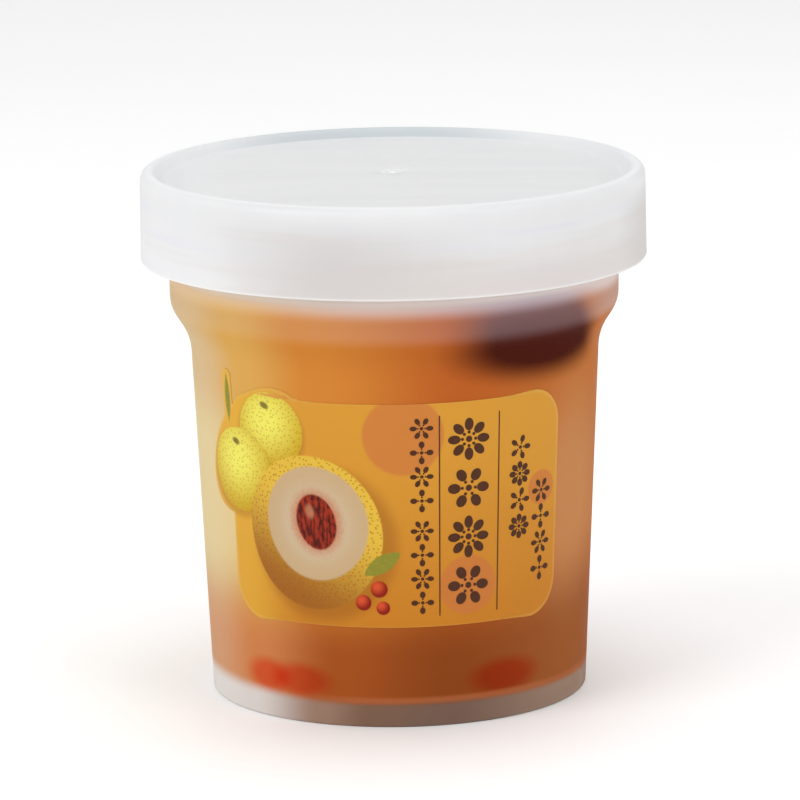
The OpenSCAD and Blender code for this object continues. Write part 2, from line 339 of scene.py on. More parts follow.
def amberColour(r, x, y, z):
    a, s = amberLook, amberShapes

    def blot(turn, height, wide, high, inner, outer, power=2.0, lean=0.0):
        # a soft shape behind the wall, whose left end can lean upwards; it also shapes a painted highlight
        along = x * cosine(turn) + y * sine(turn)
        rise = z - height + r.math("MINIMUM", along, 0.0) * lean
        away = ((abs(along) / wide) ** power + (abs(rise) / high) ** power) ** (1 / power)
        return r.fade(away, outer, inner) * r.fade(x * sine(turn) - y * cosine(turn), *s["blotDepth"])

    share = x / (x * x + y * y + 1) ** 0.5 * 0.5 + 0.5
    raised = z - s["lowRise"] * r.fade(share, *s["lowRight"])
    # the ramps by share paint light and shade: paler on the lit left
    colour = r.blend(r.fade(raised, *s["lowToHigh"]), r.ramp(share, a["low"]), r.ramp(share, a["high"]))
    # painted light: the left edge paler where the light falls, and a soft painted highlight on the right,
    # both in cream
    litEdge = ((abs(z - s["litEdgeMiddle"]) / s["litEdgeHalf"]) ** 2 + (share / s["litEdgeShare"]) ** 2) ** 0.5
    pale = r.fade(litEdge, *s["pear"]) + blot(*s["highlightRight"], *s["highlightSoft"]) * 0.15
    colour = r.blend(pale, colour, tint(*a["pear"]))
    for place in s["gojis"]:
        colour = r.blend(blot(*place, *s["gojiSoft"]), colour, a["goji"], "MULTIPLY")
    turn = s["date"][0]
    far = x * cosine(turn) + y * sine(turn) + s["dateTipRise"] * (z - s["dateTipZ"])
    date = blot(*s["date"], *s["dateSoft"], s["datePower"], s["dateLean"])
    date = date * r.fade(far, *s["dateTip"])                    # its far end leans away from the wall
    skin = r.blend(r.fade(z, *s["veil"]), tint(*a["date"]), tint(*a["veil"]))
    colour = r.blend(date, colour, skin)
    # painted sheen at the left and right edges and a painted reflection on the shoulder, over the pale
    # headspace by the soup's top
    ends = r.fade(share, *s["edgeSheenLeft"]) + r.fade(share, *s["edgeSheenRight"])
    hazeAndSheen = r.fade(z, *s["hazeFoot"]) * (ends + 0.15) + r.fade(z, *s["hazeTop"])
    colour = r.blend(hazeAndSheen, colour, r.ramp(share, a["hazeAndSheen"]))
    # painted light just under the lid's edge, where the lid's shade falls
    return r.blend(r.fade(z, *s["underLidLight"]), colour, tint(*a["underLidLight"])), share


# cup

cupLook = {"milk": (232, 226, 222), "roughness": 0.42, "ior": 1.03, "cover": 0.92, "inside": 0.03,
           "grain": 0.9, "grainDepth": 0.03, "ripple": (0.12, 0.12, 0.05), "depth": 0.73,
           "footLine": 4.5, "footAbove": 0.9, "footBelow": 0.8, "glowRise": 0.6,
           # fades: start, end and how full; footLeft lifts the foot band, pale with painted light, on the
           # left; glow bounds a painted glint; the collar fade keeps painted light under the lid
           "footLeft": (0.3, 0.0, 1.6), "glow": (1.0, 0.1, 0.65), "glowRight": (0.2, 0.4),
           "collar": (76.5, 81.0, 0.35), "milkTop": (82.0, 84.5), "insideTop": (79.0, 83.0, 0.3),
           "insideFloor": (4.0, 3.0, 0.45)}


def frostedCup(outside):
    c = cupLook
    material, r = newMaterial("frosted cup outside" if outside else "frosted cup inside")
    spot, x, y, z = r.place()
    grain = r.cloud(spot, c["grain"], 3.0, 0.6)
    ripple = r.cloud(r.stretched(spot, c["ripple"]), 1.0, 2.0)
    milk = tint(*c["milk"])
    if outside:
        amber, share = amberColour(r, x, y, z)
        # the foot band, pale and taller on the left with painted light
        line, soft = c["footLine"], r.fade(share, *c["footLeft"])
        foot = r.fade(z, line + c["footAbove"] + soft, line - c["footBelow"])
        colour = r.blend(foot, amber, r.ramp(share, amberLook["foot"]))
        # a painted glint along the top of the foot, faded out on the left
        glow = r.fade(abs(z - line - c["glowRise"]), *c["glow"]) * r.fade(share, *c["glowRight"])
        colour = r.blend(glow, colour, tint(*amberLook["glow"]))
        light = c["depth"] + r.fade(z, *c["collar"])            # all is deepened but the collar, kept paler as painted light where the lid's shade falls
        colour = r.blend(1 - light, colour, tint(0, 0, 0))
        colour = r.blend(r.fade(z, *c["milkTop"]), colour, milk)
        cover = c["cover"]
    else:
        colour = milk
        cover = c["inside"] + r.fade(z, *c["insideTop"]) + r.fade(z, *c["insideFloor"])
    r.surface(colour, c["roughness"] - 0.03 + 0.06 * grain, Alpha=cover, IOR=c["ior"],
              Normal=r.bump(grain * 0.3 + ripple, 0.4, c["grainDepth"]))
    return material


def makeCup():
    c = cupSizes
    footC = (wallRadius(c["footRound"]) - c["footRound"] / cosine(taper), c["footRound"])
    filletZ = c["brimH"] - c["brimT"] - c["brimFillet"]
    lipZ = c["brimH"] - c["lipDrop"]
    brimR, edge, gateR = c["brimD"] / 2, c["edgeRound"], c["gateD"] / 2
    recessR = wallRadius(c["footH"], c["wall"]) - c["recessRound"]
    mouthR = wallRadius(c["brimH"], c["wall"])
    gateZ, bevel = c["footH"] - c["gateH"], c["gateRound"]
    profile = ([(0, gateZ), (gateR - bevel, gateZ), (gateR, gateZ + bevel), (gateR, c["footH"])]
               + [(recessR * i / 6, c["footH"]) for i in range(1, 6)]
               + arc((recessR, c["footH"] - c["recessRound"]), c["recessRound"], 90, 0, 8)
               + [(wallRadius(0, c["wall"]), 0)]
               + arc(footC, c["footRound"], -90, -taper, 8)
               + wallBetween(c["footRound"], filletZ)[1:]
               + arc((wallRadius(filletZ) + c["brimFillet"], filletZ), c["brimFillet"], 180, 90, 6)
               + [(brimR - c["brimT"], c["brimH"] - c["brimT"])]
               + arc((brimR - c["brimT"] + edge, lipZ + edge), edge, 180, 270, 5)
               + arc((brimR - edge, lipZ + edge), edge, 270, 360, 5)
               + arc((brimR - c["brimRound"], c["brimH"] - c["brimRound"]), c["brimRound"], 0, 90, 8)
               + arc((mouthR + edge, c["brimH"] - edge), edge, 90, 180, 5)
               + insideLine(c["brimH"] - edge, c["wall"])[::-1])
    bm = turned(profile)
    for face in bm.faces:                       # the inside of wall and foot gets its own, clearer finish
        spot = face.calc_center_median() / mm
        face.material_index = 0 if math.hypot(spot.x, spot.y) > wallRadius(spot.z, c["wall"] / 2) else 1
    cup = meshObject("cup_wall", bm, frostedCup(True))
    cup.data.materials.append(frostedCup(False))
    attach(cup, "cup_body")
    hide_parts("cup")


makeCup()
print("cup made")


# lid

lidSizes = {"wall": 1.1, "height": 16.9, "skirtDraft": 0.6, "panelD": 85.6, "panelDrop": 1.6,
            "rampRise": 34.0, "rampFillet": 1.0, "rimRound": 1.8, "rimInnerRound": 0.8, "crown": 0.5,
            "gap": 0.3, "beadH": 0.45, "plugH": 4.5, "plugT": 0.9, "plugLean": 3.0, "dimpleD": 5.0,
            "dimpleDepth": 0.25, "gateD": 1.5, "gateH": 0.45, "sides": 384, "seam": 0.02,
            "gateBlend": ((-0.35, 0.03), (-0.1, 0.15)), "gateFoot": ((0.1, 0.1), (0.35, 0.0)),
            "dimpleBlend": ((1.0, 0.0), (0.6, 0.06), (0.3, 0.15))}
# several colours below are painted light: shade on the rim's inner wall and on the skirt, light on the
# skirt's left, highlights on its lower edge, the gate and the crest
lidLook = {"milk": (234, 235, 237), "milky": (240, 240, 240), "ramp": (192, 200, 205),
           "warm": (220, 211, 205), "cool": (229, 229, 240), "dull": (226, 227, 227),
           "edge": (198, 193, 189), "shade": (212, 208, 207), "bright": (246, 247, 249),
           "pale": (255, 255, 255), "crest": (253, 253, 255), "through": 0.35, "roughness": 0.4,
           "ior": 1.22, "sheen": 0.1, "grain": 0.9, "grainDepth": 0.03, "backMiddle": -4}
lidFades = {        # start, end and how full: millimetres up, out from the middle, or east or north of it
    "side": (97.5, 94.0), "panel": (43.0, 36.0), "rampIn": (42.6, 43.0), "rampOut": (45.6, 45.2),
    "rampUp": (97.6, 97.9), "backEast": (36.0, 10.0, 0.75), "backNorth": (0.0, 20.0),
    "polishRim": (96.0, 98.9, 0.08), "polishGate": (3.0, 2.2, 0.2), "wavesSide": (98.4, 94.0),
    "wavesPanel": (42.6, 38.0), "wavesGate": (2.6, 3.6),
    "coolStreak": (0.45, 0.75, 0.5), "warmStreak": (0.5, 0.2, 0.4), "grainy": (0.3, 0.7, 0.45)}
lidTones = (        # colour, strength, and the fades that bound it; all are painted light and shade
    # painted warm shade low on the skirt
    ("warm", 0.65, (("up", 93, 84), ("east", -34, -8))),
    ("shade", 0.7, (("up", 98.6, 91), ("east", -38, -10), ("east", 24, -12))),  # painted shade over the middle of the skirt
    # painted light along the lid's left edge
    ("bright", 0.2, (("east", -28.0, -38.0), ("east", -48.0, -42.5))),
    # painted shade along the skirt's right edge
    ("edge", 0.75, (("east", 40.0, 49.5), ("up", 98.0, 92.0))),
    ("pale", 0.6, (("up", 83.0, 82.6),)),                                       # painted highlight on the skirt's lower edge
    ("pale", 0.4, (("out", 3.4, 2.0),)),                                        # painted highlight on the gate mark
    # painted highlight along the near side of the crest
    ("crest", 0.6, (("up", 98.9, 99.25), ("north", 25.0, 0.0))),
)


def frostedLid():
    look = lidLook
    material, r = newMaterial("frosted lid")
    spot, x, y, z = r.place()
    out = (x * x + y * y) ** 0.5
    east, north = x / (out + 0.01), y / (out + 0.01)
    ways = {"up": z, "east": x, "north": y, "out": out}

    def faded(way, name):
        return r.fade(way, *lidFades[name])

    def toned(amount, name):
        return r.blend(amount, colour, tint(*look[name]))

    grain = r.cloud(spot, look["grain"], 3.0, 0.6)
    rays = r.vector(east * 5.0, north * 5.0, out * 0.02)
    flow = r.cloud(rays, 1.0, 3.0)                              # flow marks from the gate
    ripple = r.cloud(r.stretched(spot, (0.08, 0.08, 0.08)), 1.0, 2.0)
    band = r.vector(east * 0.8, north * 0.8, z * 0.3)
    streak = r.cloud(band, 1.0, 2.0, 0.5)                       # streaks round the skirt
    grainy = r.cloud(r.stretched(spot, (0.015, 0.12, 0.0)), 1.0, 3.0)       # and across the panel
    colour = r.blend(flow, tint(*look["milk"]), tint(*look["milky"]))
    side = faded(z, "side")
    colour = toned(side * faded(streak, "coolStreak"), "cool")
    colour = toned(side * faded(streak, "warmStreak"), "warm")
    colour = toned(faded(out, "panel") * faded(grainy, "grainy"), "dull")
    # painted shade on the rim's inner wall, deepest at the back
    ramp = faded(out, "rampIn") * faded(out, "rampOut") * faded(z, "rampUp")
    back = faded(abs(x - look["backMiddle"]), "backEast") * faded(y, "backNorth")
    colour = toned(ramp * (back + 0.1), "ramp")
    # the painted light and shade of the skirt, rim and gate
    for name, strength, fades in lidTones:
        amount = strength
        for way, start, end in fades:
            amount = r.fade(ways[way], start, end) * amount
        colour = toned(amount, name)
    polish = faded(z, "polishRim") + faded(out, "polishGate")   # rim and gate are smoother
    waves = faded(z, "wavesSide") + faded(out, "wavesPanel") * faded(out, "wavesGate")
    unevenness = (grain * 0.3 + flow * 0.5 + ripple) * waves
    r.surface(colour, look["roughness"] - 0.03 + 0.06 * grain - polish, IOR=look["ior"],
              Transmission_Weight=look["through"], Sheen_Weight=look["sheen"], Sheen_Roughness=0.5,
              Normal=r.bump(unevenness, 0.4, look["grainDepth"]))
    return material


def makeLid():
    c, d = cupSizes, lidSizes
    seat = c["brimH"]
    panelZ = seat + d["wall"]
    crestZ = panelZ + d["panelDrop"]
    lidR = c["brimD"] / 2 + d["gap"] + d["beadH"] + d["wall"]
    edge = c["edgeRound"]
    mitre = tangent(d["rampRise"] / 2)
    panelR = d["panelD"] / 2
    rampTop = panelR + d["panelDrop"] / tangent(d["rampRise"])

    def skirtR(height, inset=0.0):
        return lidR - inset + (seat - height) * tangent(d["skirtDraft"])

    def crown(radius, height, start=0.0, steps=14):     # a slightly domed panel, from its middle outwards
        places = [start + (radius - start) * i / steps for i in range(steps + 1)]
        return [(away, height + d["crown"] * (1 - (away / radius) ** 2)) for away in places]

    skirtZ = crestZ - d["height"]
    plugR = wallRadius(seat, c["wall"]) - d["gap"]
    plugEnd = plugR - d["plugH"] * tangent(d["plugLean"])
    plugZ = seat - d["plugH"]
    beadZ = seat - c["lipDrop"] - d["gap"]
    beadR = c["brimD"] / 2 + d["gap"]
    fillet, inner = d["rampFillet"], d["rimInnerRound"]
    dimpleZ = panelZ + d["crown"] - d["dimpleDepth"]
    gateR, dimpleR = d["gateD"] / 2, d["dimpleD"] / 2
    gateTop = dimpleZ + d["gateH"]
    profile = ([(0, gateTop)]
               + [(gateR + out, gateTop - down) for out, down in d["gateBlend"]]
               + [(gateR + out, dimpleZ + up) for out, up in d["gateFoot"]]
               + [(dimpleR - back, dimpleZ + up) for back, up in d["dimpleBlend"]]
               + crown(panelR - fillet * mitre, panelZ, dimpleR)
               + arc((panelR - fillet * mitre, panelZ + fillet), fillet, -90, d["rampRise"] - 90, 8)
               + arc((rampTop + inner * mitre, crestZ - inner), inner, 90 + d["rampRise"], 90, 6)
               + arc((skirtR(crestZ) - d["rimRound"], crestZ - d["rimRound"]), d["rimRound"], 90, 0, 12)
               + arc((skirtR(skirtZ) - edge, skirtZ + edge), edge, 0, -90, 5)
               + arc((skirtR(skirtZ, d["wall"]) + edge, skirtZ + edge), edge, -90, -180, 5)
               + [(skirtR(beadZ - 3 * d["beadH"], d["wall"]), beadZ - 3 * d["beadH"]),
                  (beadR, beadZ - d["beadH"] - edge), (beadR, beadZ - d["beadH"]),
                  (skirtR(beadZ, d["wall"]), beadZ),
                  (skirtR(crestZ, d["wall"]), crestZ - d["wall"]),
                  (rampTop + d["wall"] * mitre, crestZ - d["wall"]),
                  (panelR + d["wall"] * mitre, seat + d["seam"]), (plugR, seat + d["seam"])]
               + arc((plugEnd - edge, plugZ + edge), edge, 0, -90, 5)
               + arc((plugEnd - d["plugT"] + edge, plugZ + edge), edge, -90, -180, 5)
               + crown(plugR - d["plugT"], seat)[::-1])
    lid = meshObject("lid_shell", turned(profile, d["sides"]), frostedLid())
    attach(lid, "lid_body")
    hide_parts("lid")


makeLid()
print("lid made")


# soup: opaque amber that shows its fruit as soft shapes near the wall, and the same painted light as the
# wall

soupLook = {"deep": (176, 92, 36), "clear": (206, 128, 60), "wallEdge": (41.0, 39.6),
            "surface": (79.0, 79.2)}
soupSizes = {"height": 79.3, "gap": 0.08, "meniscus": 0.6, "meniscusW": 3.0, "levelR": 0.92}


def amberSoup():
    material, r = newMaterial("amber soup")
    spot, x, y, z = r.place()
    drift = r.cloud(r.stretched(spot, (0.05, 0.05, 0.03)), 1.0, 2.0)
    colour, share = amberColour(r, x, y, z)
    top = r.fade((x * x + y * y) ** 0.5, *soupLook["wallEdge"]) * r.fade(z, *soupLook["surface"])
    colour = r.blend(top, colour, r.blend(drift, tint(*soupLook["deep"]), tint(*soupLook["clear"])))
    r.surface(colour, 0.42 - 0.3 * top, Specular_IOR_Level=0.1, Normal=r.bump(drift, 0.3, 0.2))
    return material


def makeSoup():
    s = soupSizes
    inset = cupSizes["wall"] + s["gap"]
    side = insideLine(s["height"] + s["meniscus"], inset)
    rim = side[-1][0]
    top = [(rim - s["meniscusW"] * i / 8, s["height"] + s["meniscus"] * (1 - i / 8) ** 2)
           for i in range(1, 9)]
    level = [(rim * (1 - i / 8) * s["levelR"], s["height"]) for i in range(0, 8)]
    soup = meshObject("soup_body", turned(side + top + level + [(0, s["height"])]), amberSoup())
    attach(soup, "cup_body")
    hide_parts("soup")


makeSoup()
print("soup made")


# fruit

fruitSizes = {"pearD": 64.0, "pearH": 58.0, "pearBelly": 27.0, "pearSlim": 0.22, "pearFlat": 0.5,
              "pearGap": 0.05, "dateL": 30.0, "dateD": 21.0, "dateTurn": 55.0, "dateZ": 73.0,
              "dateR": 27.99, "dateFuller": 0.06, "dateFolds": 2.6, "dateDepth": 0.05, "dateSeed": 3.0,
              "gojiL": 12.5, "gojiD": 6.2, "gojiPlaces": (-28.0, -15.5, 19.0), "gojiZ": 8.0,
              "gojiR": 29.14, "gojiFuller": 0.12, "gojiFolds": 2.0, "gojiDepth": 0.06, "tipIn": 0.985}
fruitLook = {"flesh": (226, 204, 150), "fleshPale": (240, 226, 186), "fleshTop": (206, 164, 96),
             "speck": (176, 128, 70), "date": (52, 12, 8), "dateFold": (112, 34, 20),
             "goji": (168, 28, 14), "gojiFold": (226, 78, 34),
             "topFrom": (50, 62, 0.5), "specks": (0.62, 0.7, 0.35), "foldEdge": (0.35, 0.65)}


def pearFlesh():
    material, r = newMaterial("stewed pear")
    spot, x, y, z = r.place()
    fibre = r.cloud(r.stretched(spot, (0.6, 0.6, 0.12)), 1.0, 4.0)
    speck = r.fade(r.cloud(spot, 2.2, 1.0), *fruitLook["specks"])
    colour = r.blend(fibre, tint(*fruitLook["flesh"]), tint(*fruitLook["fleshPale"]))
    colour = r.blend(r.fade(z, *fruitLook["topFrom"]), colour, tint(*fruitLook["fleshTop"]))
    colour = r.blend(speck, colour, tint(*fruitLook["speck"]))
    r.surface(colour, 0.35 + 0.15 * fibre, Normal=r.bump(fibre, 0.5, 0.3))
    return material


def dateSkin():
    material, r = newMaterial("red date skin")
    spot = r.spot()
    fold = r.cloud(r.stretched(spot, (0.25, 0.25, 0.5)), 1.0, 4.0, 0.6)
    edge = r.fade(fold, *fruitLook["foldEdge"])
    colour = r.blend(edge, tint(*fruitLook["date"]), tint(*fruitLook["dateFold"]))
    r.surface(colour, 0.22 + 0.3 * fold, Normal=r.bump(fold, 0.7, 0.5))
    return material


def gojiSkin():
    material, r = newMaterial("goji skin")
    spot = r.spot()
    fold = r.cloud(r.stretched(spot, (0.9, 0.9, 1.6)), 1.0, 3.0, 0.6)
    colour = r.blend(fold, tint(*fruitLook["goji"]), tint(*fruitLook["gojiFold"]))
    r.surface(colour, 0.3 + 0.2 * fold, Normal=r.bump(fold, 0.6, 0.3))
    return material


def wrinkled(name, kind, turn, material, seed):
    # a dried fruit that lies along the wall, with folds that run from tip to tip
    away, height, length, width, fuller, folds, depth = [
        fruitSizes[kind + part] for part in ("R", "Z", "L", "D", "Fuller", "Folds", "Depth")]
    steps, sides = 40, 64
    profile = []
    for i in range(steps + 1):
        a = math.pi * i / steps - math.pi / 2
        radius = 0 if i in (0, steps) else width / 2 * math.cos(a) * (1 + fuller * math.sin(a))
        profile.append((radius, length / 2 * math.sin(a)))
    bm = turned(profile, sides)
    put = Matrix.Translation(Vector((0, -away, height)) * mm)
    stand = Matrix.Rotation(math.radians(turn), 4, "Z") @ put @ Matrix.Rotation(math.radians(90), 4, "Y")
    for v in bm.verts:
        p = v.co / mm
        around = math.atan2(p.y, p.x)
        lane = Vector((folds * math.cos(around), folds * math.sin(around), p.z / length * 1.5 + seed))
        fine = noise.noise(p * 0.5 + Vector((seed, 0, 0)))
        shrink = 1 - depth * abs(noise.noise(lane)) * 2 - depth * 0.4 * abs(fine)
        v.co = Vector((p.x * shrink, p.y * shrink, p.z * fruitSizes["tipIn"])) * mm
    bmesh.ops.transform(bm, matrix=stand, verts=bm.verts)
    bmesh.ops.recalc_face_normals(bm, faces=bm.faces)
    return meshObject(name, bm, material, 80)


def makeFruit():
    f = fruitSizes
    floor = cupSizes["footH"] + cupSizes["floorT"]
    steps, flat, gap = 40, f["pearFlat"], f["pearGap"]
    foot = -math.asin(f["pearBelly"] / (f["pearBelly"] + flat))
    profile = [(0, floor + gap)]
    for i in range(steps + 1):
        a = foot + (math.pi / 2 - foot) * i / steps
        tall = f["pearBelly"] + flat if a < 0 else f["pearH"] - f["pearBelly"]
        width = f["pearD"] / 2 * math.cos(a) * (1 - f["pearSlim"] * max(0, math.sin(a)))
        profile.append((0 if i == steps else width, floor + f["pearBelly"] + tall * math.sin(a) + gap))
    bm = turned(profile, 96)
    for v in bm.verts:
        p = v.co / mm
        dent = 1 - 0.02 * abs(noise.noise(p * 0.07)) - 0.004 * abs(noise.noise(p * 0.4))
        v.co = Vector((p.x * dent, p.y * dent, p.z)) * mm
    pear = meshObject("pear_flesh", bm, pearFlesh(), 80)
    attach(pear, "cup_body")
    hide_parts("pear")

    date = wrinkled("red_date_skin", "date", f["dateTurn"], dateSkin(), f["dateSeed"])
    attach(date, "cup_body")
    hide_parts("red_date")

    skin = gojiSkin()
    for number, place in enumerate(f["gojiPlaces"], 1):
        turn = math.degrees(place / f["gojiR"])
        berry = wrinkled("goji_skin_%d" % number, "goji", turn, skin, float(number))
        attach(berry, "cup_body")
        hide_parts("goji_berry_%d" % number)


makeFruit()
print("fruit made")


# label: a curved sheet, worked out flat as (millimetres round the wall, height)

labelSizes = {"thick": 0.11, "turn": -1.1, "width": 69.0, "height": 43.2, "foot": 18.8, "corner": 7.0,
              "lobeL": 30.0, "lobeW": 18.6, "lobeLean": 46.5, "lobeIn": 6.0, "lobeDown": 11.2,
              "tabL": 9.0, "tabW": 2.5, "tabLean": -2.0, "tabIn": 0.4, "under": 0.01, "step": 0.9,
              "rows": 53, "span": 100}      # the span is what one unit of the flat map measures
labelInksAndLight = {       # the print's screen colours and two of painted light, all deepened by the same function
    # the last colour here is painted light on the label's left
    "ground": (212, 134, 36), "groundTop": (228, 161, 54), "leftLight": (246, 192, 62),
    # the first colour here is a painted highlight along the cut edge
    "edgeHighlight": (240, 204, 120), "spot": (214, 124, 62), "shadow": (150, 84, 20),
    "leaf": (120, 122, 34), "leafPale": (176, 166, 62), "stalk": (92, 62, 24),
    "rind": (214, 172, 30), "rindPale": (255, 246, 104), "rindSpeck": (186, 118, 34),
    "peel": (172, 104, 30), "peelPale": (240, 196, 68), "peelSpeck": (158, 92, 28),
    "pulp": (222, 204, 176), "pulpRim": (212, 180, 138), "pulpFibre": (222, 180, 120),
    "blush": (206, 112, 66), "stone": (84, 20, 12), "stoneRidge": (172, 52, 26),
    "gleam": (226, 150, 110), "berry": (150, 30, 12), "berryPale": (226, 86, 44)}
inkDepth = 0.68
labelArt = {        # middles round and up the wall, half sizes and leans, in millimetres and degrees
    "spots": ((1.2, 55.6, 7.4), (13.3, 26.8, 5.6), (29.4, 43.2, 3.3)),
    "tabLeaf": (3.6, 9.0, 1.5), "wholes": ((6.2, 7.3), (-5.2, 7.9)), "wholesDown": -0.2,
    "half": (-16.4, 36.8, 13.6, 14.6, 14), "halfShadow": (-14.4, 35.0, 14.4, 14.9, 14),
    "flesh": (-15.6, 38.6, 10.2, 10.8, 14), "blush": (-15.4, 38.9, 6.0, 7.1, 14),
    "stone": (-15.4, 38.9, 3.9, 5.3, 14), "gleam": (-16.6, 40.8, 0.8, 1.3, 14),
    "leaf": (-2.9, 31.4, 8.0, 3.2, 58),
    "berries": ((-3.6, 26.6, 1.6), (-6.6, 24.0, 1.5), (-2.9, 23.0, 1.3)),
    # fades: start, end and how full
    # the second and third fades bound painted light on the left and a painted highlight along the cut edge
    "groundUp": (22, 66), "leftLightWest": (-18, -32, 0.6), "edgeHighlight": (-0.75, -0.35, 0.18),
    "specks": (0.26, 0.14), "wholeLight": (1.1, 0.1), "berryLight": (1.2, 0.1), "halfLight": (15, 36),
    "pulpRim": (0.2, 0.95), "pulpFibre": (0.4, 0.7, 0.25), "stoneRidges": (0.35, 0.65)}
flatRadius = wallRadius(labelSizes["foot"] + labelSizes["height"] / 2)
labelMiddle = math.radians(labelSizes["turn"]) * flatRadius
lobeMiddle = (labelMiddle - labelSizes["width"] / 2 + labelSizes["lobeIn"],
              labelSizes["foot"] + labelSizes["height"] - labelSizes["lobeDown"])


def leaned(origin, slope, along, across):       # a point whose along axis slopes up by an angle
    c, n = cosine(slope), sine(slope)
    return origin[0] + along * c - across * n, origin[1] + along * n + across * c


tabFoot = leaned(lobeMiddle, labelSizes["lobeLean"], 0,
                 labelSizes["lobeW"] / 2 - labelSizes["tabW"] * labelSizes["tabIn"])


def onWall(along, height, lift):
    turn = along / flatRadius
    radius = wallRadius(height) + lift
    return Vector((radius * math.sin(turn), -radius * math.cos(turn), height)) * mm


def labelOutlines():
    s = labelSizes
    left, right = labelMiddle - s["width"] / 2, labelMiddle + s["width"] / 2
    low, high, corner = s["foot"], s["foot"] + s["height"], s["corner"]
    panel = (arc((right - corner, high - corner), corner, 0, 90, 16)
             + arc((left + corner, high - corner), corner, 90, 180, 16)
             + arc((left + corner, low + corner), corner, 180, 270, 16)
             + arc((right - corner, low + corner), corner, 270, 360, 16))
    lobe = [leaned(lobeMiddle, s["lobeLean"], s["lobeL"] / 2 * px, s["lobeW"] / 2 * py)
            for px, py in arc((0, 0), 1, 0, 354, 59)]
    tip = arc((0, s["tabL"] - s["tabW"] / 2), s["tabW"] / 2, 0, 180)
    strip = [(s["tabW"] / 2, 0)] + tip + [(-s["tabW"] / 2, 0)]
    tab = [leaned(tabFoot, -s["tabLean"], *p) for p in strip]
    return panel, lobe, tab


def inkedOrLit(name):                # a printed colour, deepened; the painted light on the label goes the same way
    return tuple(v * inkDepth for v in tint(*labelInksAndLight[name])[:3]) + (1.0,)


